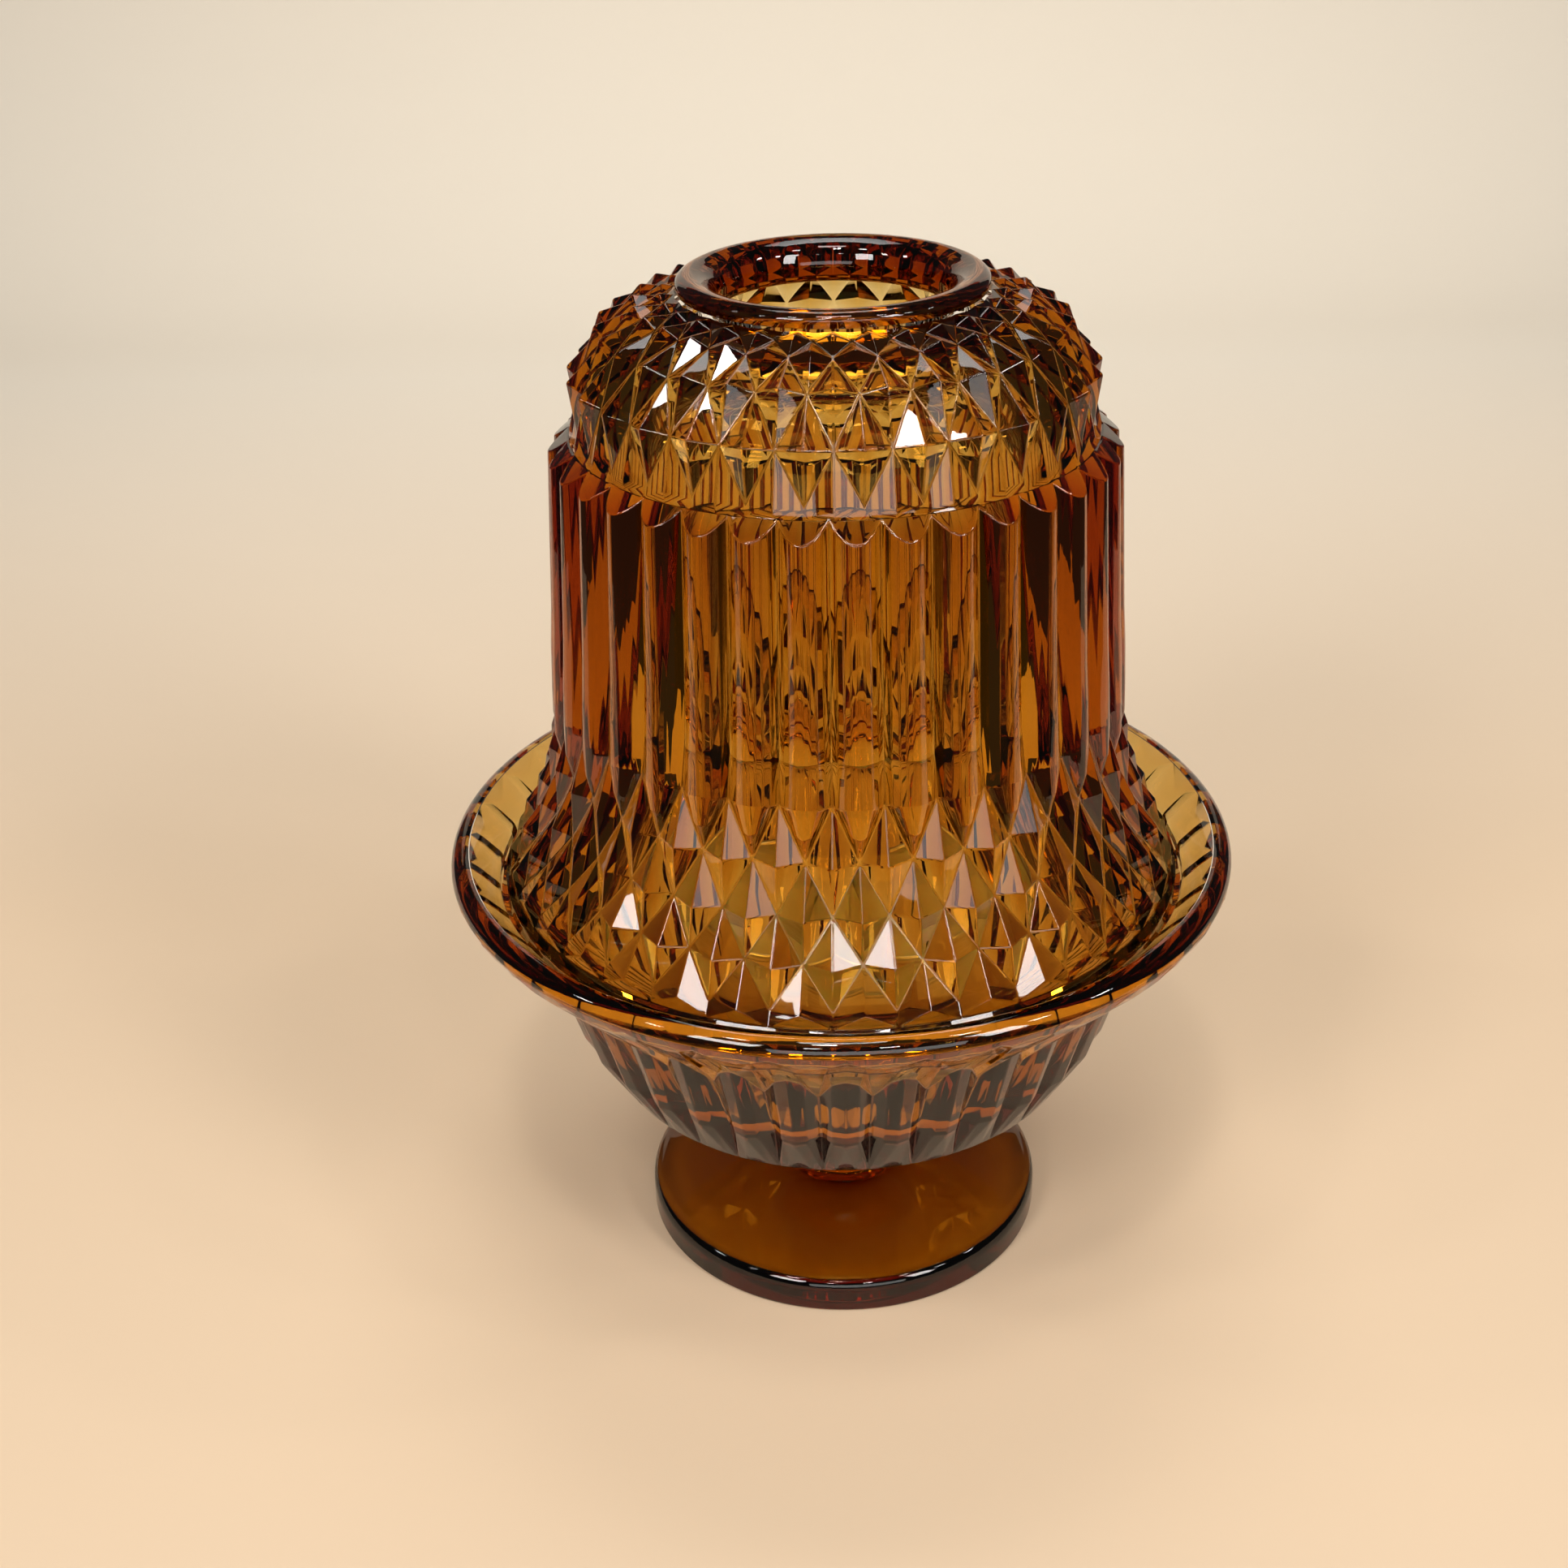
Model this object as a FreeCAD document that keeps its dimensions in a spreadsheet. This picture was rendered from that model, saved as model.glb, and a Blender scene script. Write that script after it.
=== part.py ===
import FreeCAD, Part
import Sketcher
import math
import os

# Two-piece pressed-glass fairy lamp: a footed bowl, a dome shade that stands on the ledge inside
# the bowl, and a tealight on the bowl's floor.
# The origin is the centre of the foot's underside and +Z points up. Sizes are in millimetres and
# angles in degrees.

os.makedirs("parts", exist_ok=True)
doc = FreeCAD.newDocument("fairy_lamp")
Vector = FreeCAD.Vector

sizes = {
    # foot and stem
    "foot_radius": 34.8, "foot_edge": 6.0, "foot_rounding": 1.6,
    "foot_dome_radius": 11.5, "foot_dome_top": 8.8, "dome_fillet": 2.5,
    "stem_radius": 8.2, "stem_low": 12.0, "stem_high": 23.0, "stem_fillet": 6.0,
    "neck_radius": 15.0, "neck_top": 31.0, "underside_radius": 39.8, "underside_top": 34.9,
    "underside_core": 38.0,
    # bowl, pressed with ribs below the collar
    "rib_count": 36, "bowl_base_radius": 41.0, "bowl_base_top": 35.2,
    "bowl_crest_low_radius": 46.4, "bowl_crest_low": 44.1,
    "bowl_valley_low_radius": 43.2, "bowl_valley_low": 43.7,
    "bowl_crest_top_radius": 51.3, "bowl_crest_top": 60.3,
    "bowl_valley_top_radius": 48.2, "bowl_valley_top": 55.3,
    "cusp_radius": 64.8, "cusp_top": 73.3, "scallop_radius": 64.2, "scallop_top": 71.9,
    "scallop_side_radius": 64.4, "scallop_side_top": 72.3, "scallop_side_turn": 2.6,
    "collar_radius": 64.9, "rim_radius": 65.0, "rim_low": 74.0, "rim_roll": 2.7, "rim_rounding": 2.5,
    # inside of the bowl
    "rim_inner_radius": 62.0, "tier_radius": 60.3, "tier_top": 74.9,
    "seat_radius": 57.2, "seat_wall_top": 71.2, "seat_top": 69.0, "well_radius": 51.2,
    "well_mid_radius": 44.6, "well_mid_top": 56.0, "well_low_radius": 39.0, "well_low_top": 44.5,
    "floor_radius": 35.5, "floor_top": 41.0,
    # shade: skirt of diamonds, from its lower edge up
    "skirt_edge_radius": 56.2, "band_top": 71.6,
    "row_five_radius": 55.3, "row_five_top": 72.6, "row_four_radius": 54.0, "row_four_top": 74.6,
    "row_three_radius": 50.7, "row_three_top": 80.8, "row_two_radius": 47.6, "row_two_top": 87.2,
    "row_one_radius": 45.4, "row_one_top": 94.9, "row_zero_radius": 44.2, "row_zero_top": 103.8,
    "skirt_rise": 2.0, "skirt_low_rise": 1.2,
    # shade: ribs
    "rib_flare_radius": 42.7, "rib_flare_top": 111.0, "rib_waist_radius": 42.2, "rib_waist_top": 118.0,
    "rib_top_radius": 40.9, "rib_top": 146.0, "rib_crest_top": 143.6, "rib_ratio": 1.074,
    "rib_end_rise": 2.0, "rib_half_end_rise": 1.6,
    # shade: shoulder of diamonds on a ring-shaped arc; a climb is an angle on that arc
    "shoulder_count": 30, "shoulder_turn": 1.1, "shoulder_centre_radius": 22.2,
    "shoulder_centre_top": 149.5, "shoulder_arc": 17.2,
    "climb_zero": -6.6, "climb_one": 19.2, "climb_two": 45.3, "climb_three": 66.0, "climb_four": 79.0,
    "rise_one": 2.1, "rise_two": 1.9, "rise_three": 1.5, "rise_four": 1.1,
    "shoulder_top_radius": 22.9, "shoulder_top": 167.4,
    "shoulder_low_radius": 40.4, "shoulder_arch_radius": 40.3,
    # shade: inside, and the ring round its top opening
    "ring_radius": 20.2, "ring_roll": 3.3, "ring_centre": 166.7, "opening_radius": 17.1,
    "inner_edge_radius": 52.4, "inner_band_radius": 52.0, "inner_band_top": 72.5,
    "inner_flare_radius": 46.6, "inner_flare_top": 82.5, "inner_skirt_radius": 41.8,
    "inner_skirt_top": 94.0, "inner_waist_radius": 38.4, "inner_waist_top": 114.0,
    "inner_top_radius": 37.2, "crown_top": 163.3, "crown_rounding": 14.0,
    "shade_turn": -1.9,
    # tealight
    "cup_radius": 19.2, "cup_tall": 15.6, "cup_wall": 0.4, "cup_lip": 0.9,
    "wax_radius": 18.7, "wax_tall": 12.4, "tab_radius": 6.5, "tab_thick": 0.4,
    "tab_neck_radius": 1.6, "tab_neck_tall": 3.0, "wick_radius": 0.9, "wick_tall": 19.0,
}

sheet = doc.addObject("Spreadsheet::Sheet", "Sizes")
for row, (name, value) in enumerate(sizes.items(), start=1):
    sheet.set("A%d" % row, name)
    sheet.set("B%d" % row, str(value))
    sheet.setAlias("B%d" % row, name)
doc.recompute()


def size(name):
    return float(getattr(sheet, name))


# Flat facets on cylindrical coordinates; the camera's side of the lamp is at this turn

front = -90.0


def at(radius, height, turn):
    angle = math.radians(turn)
    return Vector(radius * math.cos(angle), radius * math.sin(angle), height)


def facet(*corners):
    return Part.Face(Part.makePolygon(list(corners) + [corners[0]]))


# Joins two rows of points, left to right, with flat triangles


def triangles(low, high):
    faces = []
    for i in range(len(low) - 1):
        faces.append(facet(low[i], low[i + 1], high[i + 1]))
        faces.append(facet(low[i], high[i + 1], high[i]))
    return faces


def pyramid(top, left, bottom, right, apex):
    corners = (top, left, bottom, right, top)
    return [facet(apex, first, second) for first, second in zip(corners, corners[1:])]


def closedSolid(faces):
    shell = Part.makeShell(faces)
    shell.sewShape()
    solid = Part.makeSolid(shell)
    if solid.Volume < 0:
        solid.reverse()
    return solid


def addHull(name, solid):
    hull = doc.addObject("Part::Feature", name)
    hull.Shape = solid
    return hull


# Rib section: fractions of the half width from the crest to the valley, and the height there

ribSection = ((0.0, 1.0), (0.5, 0.75), (1.0, 0.0))
ribPitch = 360.0 / size("rib_count")
ribRow = [(-part, tall) for part, tall in reversed(ribSection)] + list(ribSection[1:])


# Points across one rib, from the valley on its left to the valley on its right


def ribPoints(centre, valley, crest, height, width=1.0):
    points = []
    for part, tall in ribRow:
        turn = centre + part * width * ribPitch / 2
        points.append(at(valley + (crest - valley) * tall, height, turn))
    return points


# Shade: corners of the skirt's diamonds, row 0 at the top

rowNames = ("zero", "one", "two", "three", "four", "five")


def skirtNode(row, turn, rise=0.0):
    name = "row_" + rowNames[row]
    return at(size(name + "_radius") + rise, size(name + "_top"), turn)


# Halfway down the edge that a rib's pointed end shares with the top diamond beside it


def endMiddle(valley, side):
    return (skirtNode(0, valley) + skirtNode(1, valley + side * ribPitch / 2)) / 2


# Diamonds and the lower edge between one valley and the next


def skirtFaces(valley):
    half = ribPitch / 2
    crest = valley + half
    rise = size("skirt_rise")
    faces = []
    top = skirtNode(0, valley)
    low = skirtNode(2, valley)
    apex = skirtNode(1, valley, rise)
    for side in (-1, 1):
        corner = skirtNode(1, valley + side * half)
        faces.append(facet(apex, top, endMiddle(valley, side), corner))
        faces.append(facet(apex, corner, low))
    for row, centre in ((2, crest), (3, valley)):
        faces += pyramid(
            skirtNode(row - 1, centre), skirtNode(row, centre - half), skirtNode(row + 1, centre),
            skirtNode(row, centre + half), skirtNode(row, centre, rise),
        )
    apex = skirtNode(4, crest, size("skirt_low_rise"))
    top = skirtNode(3, crest)
    corners = [(skirtNode(4, crest - side * half), skirtNode(5, crest - side * half)) for side in (1, -1)]
    for corner, low in corners:
        faces.append(facet(apex, top, corner))
        faces.append(facet(apex, corner, low))
        faces.append(facet(apex, low, skirtNode(5, crest)))
    for turn in (valley, crest):
        bandTop = [at(size("row_five_radius"), size("row_five_top"), turn + step) for step in (0, half)]
        bandMid = [at(size("skirt_edge_radius"), size("band_top"), turn + step) for step in (0, half)]
        bandLow = [at(size("skirt_edge_radius"), size("seat_top"), turn + step) for step in (0, half)]
        faces.append(facet(bandMid[0], bandMid[1], bandTop[1], bandTop[0]))
        faces.append(facet(bandLow[0], bandLow[1], bandMid[1], bandMid[0]))
    return faces


# One rib: its pointed lower end, its length and its slanted top


def shadeRibFaces(crest):
    ratio = size("rib_ratio")
    levels = [
        ribPoints(crest, size("row_zero_radius"), size("row_zero_radius") + size("rib_end_rise"),
                  size("row_zero_top")),
    ]
    for name in ("rib_flare", "rib_waist"):
        radius = size(name + "_radius")
        levels.append(ribPoints(crest, radius, radius * ratio, size(name + "_top")))

    # half way down the end, where the rib is half as wide
    left = endMiddle(crest - ribPitch / 2, 1)
    right = endMiddle(crest + ribPitch / 2, -1)
    endRadius = math.hypot(left.x, left.y)
    middle = ribPoints(crest, endRadius, endRadius + size("rib_half_end_rise"), left.z, 0.5)
    middle[0] = left
    middle[-1] = right
    tip = skirtNode(1, crest)
    faces = [facet(tip, middle[i + 1], middle[i]) for i in range(len(middle) - 1)]
    faces += triangles(middle, levels[0])
    faces += triangles(levels[0], levels[1])
    faces += triangles(levels[1], levels[2])

    # the slanted top is one plane through both valley tops and the crest
    radius = size("rib_top_radius")
    valleyReach = radius * math.cos(math.radians(ribPitch / 2))
    slope = (size("rib_top") - size("rib_crest_top")) / (radius * ratio - valleyReach)
    top = []
    for point, (part, tall) in zip(ribPoints(crest, radius, radius * ratio, 0.0), ribRow):
        reach = math.hypot(point.x, point.y) * math.cos(math.radians(part * ribPitch / 2))
        top.append(Vector(point.x, point.y, size("rib_top") - slope * (reach - valleyReach)))
    faces += triangles(levels[2], top)
    faces.append(facet(*top))
    return faces


# Corners of the shoulder's diamonds, level 0 at the bottom and level 5 where the ring sits

topLevel = 5


def shoulderNode(level, turn, rise=0.0):
    if level == topLevel:
        return at(size("shoulder_top_radius"), size("shoulder_top"), turn)
    climb = math.radians(size("climb_" + rowNames[level]))
    arc = size("shoulder_arc") + rise
    radius = size("shoulder_centre_radius") + arc * math.cos(climb)
    return at(radius, size("shoulder_centre_top") + arc * math.sin(climb), turn)


# Diamonds from one upper corner line to the next, with the smooth band under them


def shoulderFaces(node):
    half = 180.0 / size("shoulder_count")
    tip = node + half
    faces = []
    for level, centre in ((1, tip), (2, node), (3, tip), (4, node)):
        faces += pyramid(
            shoulderNode(level + 1, centre), shoulderNode(level, centre - half),
            shoulderNode(level - 1, centre), shoulderNode(level, centre + half),
            shoulderNode(level, centre, size("rise_" + rowNames[level])),
        )
    faces.append(facet(
        shoulderNode(4, tip), shoulderNode(topLevel, tip + half), shoulderNode(topLevel, node),
    ))
    arch = at(size("shoulder_arch_radius"), shoulderNode(0, node).z, node)
    for side in (-1, 1):
        corner = shoulderNode(0, node + side * half)
        low = at(size("shoulder_low_radius"), size("rib_top"), node + side * half)
        lowMid = at(size("shoulder_low_radius"), size("rib_top"), node)
        faces.append(facet(shoulderNode(1, node), corner, arch))
        faces.append(facet(arch, corner, low))
        faces.append(facet(arch, low, lowMid))
    return faces


def polygon(count, radius, height, start):
    points = [at(radius, height, start + 360.0 * i / count) for i in range(count)]
    return Part.makePolygon(points + [points[0]])


def shadeHull():
    faces = []
    for i in range(int(size("rib_count"))):
        valley = front + i * ribPitch
        faces += skirtFaces(valley)
        faces += shadeRibFaces(valley + ribPitch / 2)
    count = int(size("shoulder_count"))
    start = front + size("shoulder_turn")
    for i in range(count):
        faces += shoulderFaces(start + i * 360.0 / count)
    ribs = int(size("rib_count"))
    outer = polygon(ribs, size("rib_top_radius"), size("rib_top"), front)
    inner = polygon(2 * count, size("shoulder_low_radius"), size("rib_top"), start)
    faces.append(Part.makeFace([outer, inner], "Part::FaceMakerBullseye"))
    faces.append(Part.Face(polygon(2 * ribs, size("skirt_edge_radius"), size("seat_top"), front)))
    faces.append(Part.Face(polygon(count, size("shoulder_top_radius"), size("shoulder_top"), start)))
    return closedSolid(faces)


# Bowl of the base: the ribs' crests face front


def bowlRibPoints(crest, place):
    points = []
    for part, tall in ribRow:
        radius = size("bowl_valley_%s_radius" % place)
        radius += tall * (size("bowl_crest_%s_radius" % place) - radius)
        height = size("bowl_valley_" + place)
        height += tall * (size("bowl_crest_" + place) - height)
        points.append(at(radius, height, crest + part * ribPitch / 2))
    return points


def bowlSector(crest):
    half = ribPitch / 2
    ribLow = bowlRibPoints(crest, "low")
    ribTop = bowlRibPoints(crest, "top")
    faces = triangles(ribLow, ribTop)

    # blocks under the ribs: a flat triangle below each crest, with a bevel on both sides
    leftEnd, left, right, rightEnd = [
        at(size("bowl_base_radius"), size("bowl_base_top"), crest + part * half)
        for part, tall in ribRow if part != 0.0
    ]
    leftValley, leftFlank, crown, rightFlank, rightValley = ribLow
    faces.append(facet(crown, left, right))
    sides = ((left, leftEnd, leftFlank, leftValley), (right, rightEnd, rightFlank, rightValley))
    for near, end, flank, valley in sides:
        faces.append(facet(crown, flank, near))
        faces.append(facet(flank, end, near))
        faces.append(facet(flank, valley, end))

    # star facets between the rib tops and the scalloped edge of the rim
    cusp = at(size("cusp_radius"), size("cusp_top"), crest)
    leftValley, leftFlank, crown, rightFlank, rightValley = ribTop
    for side, middle, valley in ((-1, leftFlank, leftValley), (1, rightFlank, rightValley)):
        sideTurn = crest + side * size("scallop_side_turn")
        corner = at(size("scallop_side_radius"), size("scallop_side_top"), sideTurn)
        scallop = at(size("scallop_radius"), size("scallop_top"), crest + side * half)
        faces.append(facet(cusp, corner, crown))
        faces.append(facet(corner, middle, crown))
        faces.append(facet(corner, valley, middle))
        faces.append(facet(corner, scallop, valley))
        collar = [at(size("collar_radius"), size("rim_low"), crest + side * step) for step in (0, half)]
        faces.append(facet(cusp, collar[0], corner))
        faces.append(facet(collar[0], collar[1], corner))
        faces.append(facet(collar[1], scallop, corner))
    return faces


def bowlHull():
    faces = []
    ribs = int(size("rib_count"))
    for i in range(ribs):
        faces += bowlSector(front + i * ribPitch)
    corners = [part for part, tall in ribRow[:-1] if part != 0.0]
    turns = [front + i * ribPitch + part * ribPitch / 2 for i in range(ribs) for part in corners]
    low = [at(size("bowl_base_radius"), size("bowl_base_top"), turn) for turn in turns]
    faces.append(Part.Face(Part.makePolygon(low + [low[0]])))
    faces.append(Part.Face(polygon(2 * ribs, size("collar_radius"), size("rim_low"), front)))
    return closedSolid(faces)


# Turned bodies: a closed outline revolved about the Z axis. The outline is a list of (radius, height),
# each the name of a size, a sum of names or a number.


def originPlane(body, role):
    return next(item for item in body.Origin.OriginFeatures if item.Role == role)


def turnedBody(name, outline):
    body = doc.addObject("PartDesign::Body", name)
    sketch = body.newObject("Sketcher::SketchObject", name + "Outline")
    sketch.AttachmentSupport = [(originPlane(body, "XZ_Plane"), "")]
    sketch.MapMode = "FlatFace"
    values = [(number(radius), number(height)) for radius, height in outline]
    count = len(values)
    for i in range(count):
        start = Vector(values[i][0], values[i][1], 0)
        end = Vector(values[(i + 1) % count][0], values[(i + 1) % count][1], 0)
        sketch.addGeometry(Part.LineSegment(start, end), False)
    for i in range(count):
        sketch.addConstraint(Sketcher.Constraint("Coincident", i, 2, (i + 1) % count, 1))
    for i, (radius, height) in enumerate(outline):
        distances = (
            ("DistanceX", "radius", radius, values[i][0]),
            ("DistanceY", "height", height, values[i][1]),
        )
        for kind, axis, formula, value in distances:
            place = sketch.addConstraint(Sketcher.Constraint(kind, -1, 1, i, 1, value))
            label = "%s_%d" % (axis, i)
            sketch.renameConstraint(place, label)
            if isinstance(formula, str):
                sketch.setExpression("Constraints." + label, bound(formula))
    turned = body.newObject("PartDesign::Revolution", name + "Turned")
    turned.Profile = sketch
    turned.ReferenceAxis = (sketch, ["V_Axis"])
    turned.Angle = 360.0
    body.Tip = turned
    doc.recompute()
    return body


def number(formula):
    if not isinstance(formula, str):
        return float(formula)
    total = 0.0
    sign = 1.0
    for word in formula.split():
        if word in "+-":
            sign = 1.0 if word == "+" else -1.0
        else:
            total += sign * size(word)
    return total


def bound(formula):
    words = [word if word in "+-" else "Sizes." + word for word in formula.split()]
    return " ".join(words)


# Fillets the circular edges at the given (radius, height) places

sameEdge = 0.01


def roundEdges(body, name, radiusName, rings):
    base = body.Tip
    edges = []
    for i, edge in enumerate(base.Shape.Edges, start=1):
        if not isinstance(edge.Curve, Part.Circle):
            continue
        centre = edge.Curve.Center
        for radius, height in rings:
            if math.hypot(edge.Curve.Radius - number(radius), centre.z - number(height)) < sameEdge:
                edges.append("Edge%d" % i)
    fillet = body.newObject("PartDesign::Fillet", name)
    fillet.Base = (base, edges)
    fillet.setExpression("Radius", "Sizes." + radiusName)
    body.Tip = fillet
    doc.recompute()
    return fillet


# Shade: faceted hull, rolled ring, hollow inside

shadeBody = addHull("ShadeHull", shadeHull())
ring = doc.addObject("Part::Torus", "ShadeRing")
ring.setExpression("Radius1", "Sizes.ring_radius")
ring.setExpression("Radius2", "Sizes.ring_roll")
ring.setExpression("Placement.Base.z", "Sizes.ring_centre")
shadeOutside = doc.addObject("Part::Fuse", "ShadeOutside")
shadeOutside.Base = shadeBody
shadeOutside.Tool = ring
shadeCavity = turnedBody("ShadeCavity", [
    (0, "seat_top - ring_roll"), ("inner_edge_radius", "seat_top - ring_roll"),
    ("inner_edge_radius", "seat_top"), ("inner_band_radius", "inner_band_top"),
    ("inner_flare_radius", "inner_flare_top"), ("inner_skirt_radius", "inner_skirt_top"),
    ("inner_waist_radius", "inner_waist_top"), ("inner_top_radius", "crown_top"),
    ("opening_radius", "crown_top"), ("opening_radius", "ring_centre + ring_roll + ring_roll"),
    (0, "ring_centre + ring_roll + ring_roll"),
])
roundEdges(shadeCavity, "CrownRound", "crown_rounding", [("inner_top_radius", "crown_top")])
shade = doc.addObject("Part::Cut", "Shade")
shade.Base = shadeOutside
shade.Tool = shadeCavity
shade.Label = "shade"
shade.setExpression("Placement.Rotation.Angle", "Sizes.shade_turn")

# Base: foot and stem, ribbed bowl, rolled rim, hollow with a ledge for the shade

foot = turnedBody("BaseFoot", [
    (0, 0), ("foot_radius", 0), ("foot_radius", "foot_edge"), ("foot_dome_radius", "foot_dome_top"),
    ("stem_radius", "stem_low"), ("stem_radius", "stem_high"), ("neck_radius", "neck_top"),
    ("underside_radius", "underside_top"), ("underside_radius", "underside_core"),
    (0, "underside_core"),
])
roundEdges(foot, "FootEdge", "foot_rounding", [("foot_radius", "foot_edge")])
roundEdges(foot, "StemFoot", "dome_fillet", [
    ("foot_dome_radius", "foot_dome_top"), ("stem_radius", "stem_low"),
])
roundEdges(foot, "StemNeck", "stem_fillet", [("stem_radius", "stem_high")])
bowl = addHull("BowlHull", bowlHull())
rim = turnedBody("BaseRim", [
    ("well_radius", "rim_low"), ("rim_radius", "rim_low"), ("rim_radius", "rim_low + rim_roll"),
    ("well_radius", "rim_low + rim_roll"),
])
roundEdges(rim, "RimRoll", "rim_rounding", [("rim_radius", "rim_low + rim_roll")])
baseOutside = doc.addObject("Part::MultiFuse", "BaseOutside")
baseOutside.Shapes = [bowl, foot, rim]
baseCavity = turnedBody("BaseCavity", [
    (0, "floor_top"), ("floor_radius", "floor_top"), ("well_low_radius", "well_low_top"),
    ("well_mid_radius", "well_mid_top"), ("well_radius", "seat_top"), ("seat_radius", "seat_top"),
    ("seat_radius", "seat_wall_top"), ("tier_radius", "tier_top"),
    ("rim_inner_radius", "rim_low + rim_roll"),
    ("rim_inner_radius", "rim_low + rim_roll + rim_roll"), (0, "rim_low + rim_roll + rim_roll"),
])
base = doc.addObject("Part::Cut", "Base")
base.Base = baseOutside
base.Tool = baseCavity
base.Label = "base"

# Tealight: thin metal cup with a rolled lip, wax, wick and the tab that holds the wick upright

cup = turnedBody("CandleCup", [
    (0, "floor_top"), ("cup_radius", "floor_top"), ("cup_radius", "floor_top + cup_tall - cup_lip"),
    ("cup_radius + cup_wall", "floor_top + cup_tall - cup_lip"),
    ("cup_radius + cup_wall", "floor_top + cup_tall"),
    ("cup_radius - cup_wall", "floor_top + cup_tall"),
    ("cup_radius - cup_wall", "floor_top + cup_wall"), (0, "floor_top + cup_wall"),
])
cup.Label = "candle_cup"
tab = turnedBody("WickTab", [
    (0, "floor_top + cup_wall"), ("tab_radius", "floor_top + cup_wall"),
    ("tab_radius", "floor_top + cup_wall + tab_thick"),
    ("tab_neck_radius", "floor_top + cup_wall + tab_thick"),
    ("tab_neck_radius", "floor_top + cup_wall + tab_neck_tall"),
    ("wick_radius", "floor_top + cup_wall + tab_neck_tall"),
    ("wick_radius", "floor_top + cup_wall + tab_thick"), (0, "floor_top + cup_wall + tab_thick"),
])
tab.Label = "wick_tab"
wick = turnedBody("CandleWick", [
    (0, "floor_top + cup_wall + tab_thick"), ("wick_radius", "floor_top + cup_wall + tab_thick"),
    ("wick_radius", "floor_top + wick_tall"), (0, "floor_top + wick_tall"),
])
wick.Label = "candle_wick"
wax = turnedBody("CandleWax", [
    ("tab_radius", "floor_top + cup_wall"), ("wax_radius", "floor_top + cup_wall"),
    ("wax_radius", "floor_top + cup_wall + wax_tall"),
    ("wick_radius", "floor_top + cup_wall + wax_tall"),
    ("wick_radius", "floor_top + cup_wall + tab_neck_tall"),
    ("tab_neck_radius", "floor_top + cup_wall + tab_neck_tall"),
    ("tab_neck_radius", "floor_top + cup_wall + tab_thick"),
    ("tab_radius", "floor_top + cup_wall + tab_thick"),
])
wax.Label = "candle_wax"
doc.recompute()

# Check every object, then write each sub-part

for item in doc.Objects:
    if "Invalid" in item.State or "Error" in item.State:
        raise RuntimeError("%s is in the state %s" % (item.Label, item.State))
for piece in (base, shade, cup, wax, tab, wick):
    shape = piece.Shape
    if shape.isNull() or not shape.isValid() or not shape.Solids:
        raise RuntimeError("%s has no valid solid" % piece.Label)
    box = shape.BoundBox
    print("%-12s %8.1f mm3  %d solid, %d faces, x %.1f z %.1f to %.1f" % (
        piece.Label, shape.Volume, len(shape.Solids), len(shape.Faces), box.XLength, box.ZMin, box.ZMax))
    shape.exportStep("parts/%s.step" % piece.Label)
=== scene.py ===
import math

import bmesh
import bpy
from mathutils import Matrix, Vector


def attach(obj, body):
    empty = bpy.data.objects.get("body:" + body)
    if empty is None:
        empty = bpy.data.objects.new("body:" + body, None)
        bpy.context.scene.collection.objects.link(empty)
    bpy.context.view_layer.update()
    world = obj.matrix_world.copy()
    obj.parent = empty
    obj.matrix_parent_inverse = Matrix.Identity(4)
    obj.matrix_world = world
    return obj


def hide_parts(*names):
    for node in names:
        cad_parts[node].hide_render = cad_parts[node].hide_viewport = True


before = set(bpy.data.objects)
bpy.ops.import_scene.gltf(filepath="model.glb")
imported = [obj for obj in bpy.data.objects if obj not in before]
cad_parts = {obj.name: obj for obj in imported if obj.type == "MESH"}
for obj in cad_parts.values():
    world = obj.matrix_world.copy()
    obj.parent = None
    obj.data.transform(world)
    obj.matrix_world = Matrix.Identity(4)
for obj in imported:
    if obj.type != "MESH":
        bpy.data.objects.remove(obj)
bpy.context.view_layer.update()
scene = bpy.context.scene
print("stage: frame loaded")

metresPerMm = 0.001  # every size below is in millimetres, every turn in degrees
front = -90.0        # the side of the lamp that faces the camera
making = {           # how every piece is made
    "cornerSteps": 5, "cornerShare": 0.49, "roundSteps": 144, "candleSteps": 96, "turnSlack": 0.01,
    "mergeGap": 0.0005, "sharpAngle": 38.0, "facetWeight": 60, "bevelSegments": 2, "bumpDetail": 2.0,
}


# Outlines are lists of (radius, height); a third number rounds that corner

def softCorners(corners, steps=making["cornerSteps"]):
    points = []
    for i, corner in enumerate(corners):
        here = Vector(corner[:2])
        rounding = corner[2] if len(corner) > 2 else 0.0
        if rounding == 0.0:
            points.append(tuple(here))
            continue
        before = Vector(corners[i - 1][:2]) - here
        after = Vector(corners[(i + 1) % len(corners)][:2]) - here
        start = before.normalized() * min(rounding, before.length * making["cornerShare"])
        end = after.normalized() * min(rounding, after.length * making["cornerShare"])
        for step in range(steps + 1):
            t = step / steps
            points.append(tuple(here + start * (1 - t) ** 2 + end * t ** 2))
    return points


def arcPoints(radius, height, size, first, last, steps):
    points = []
    for step in range(steps + 1):
        angle = math.radians(first + (last - first) * step / steps)
        points.append((radius + size * math.cos(angle), height + size * math.sin(angle)))
    return points


def placed(radius, height, turn):
    angle = math.radians(turn)
    return Vector((radius * math.cos(angle), radius * math.sin(angle), height))


# Turns an outline about the axis; every point remembers its number along the outline

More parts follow.
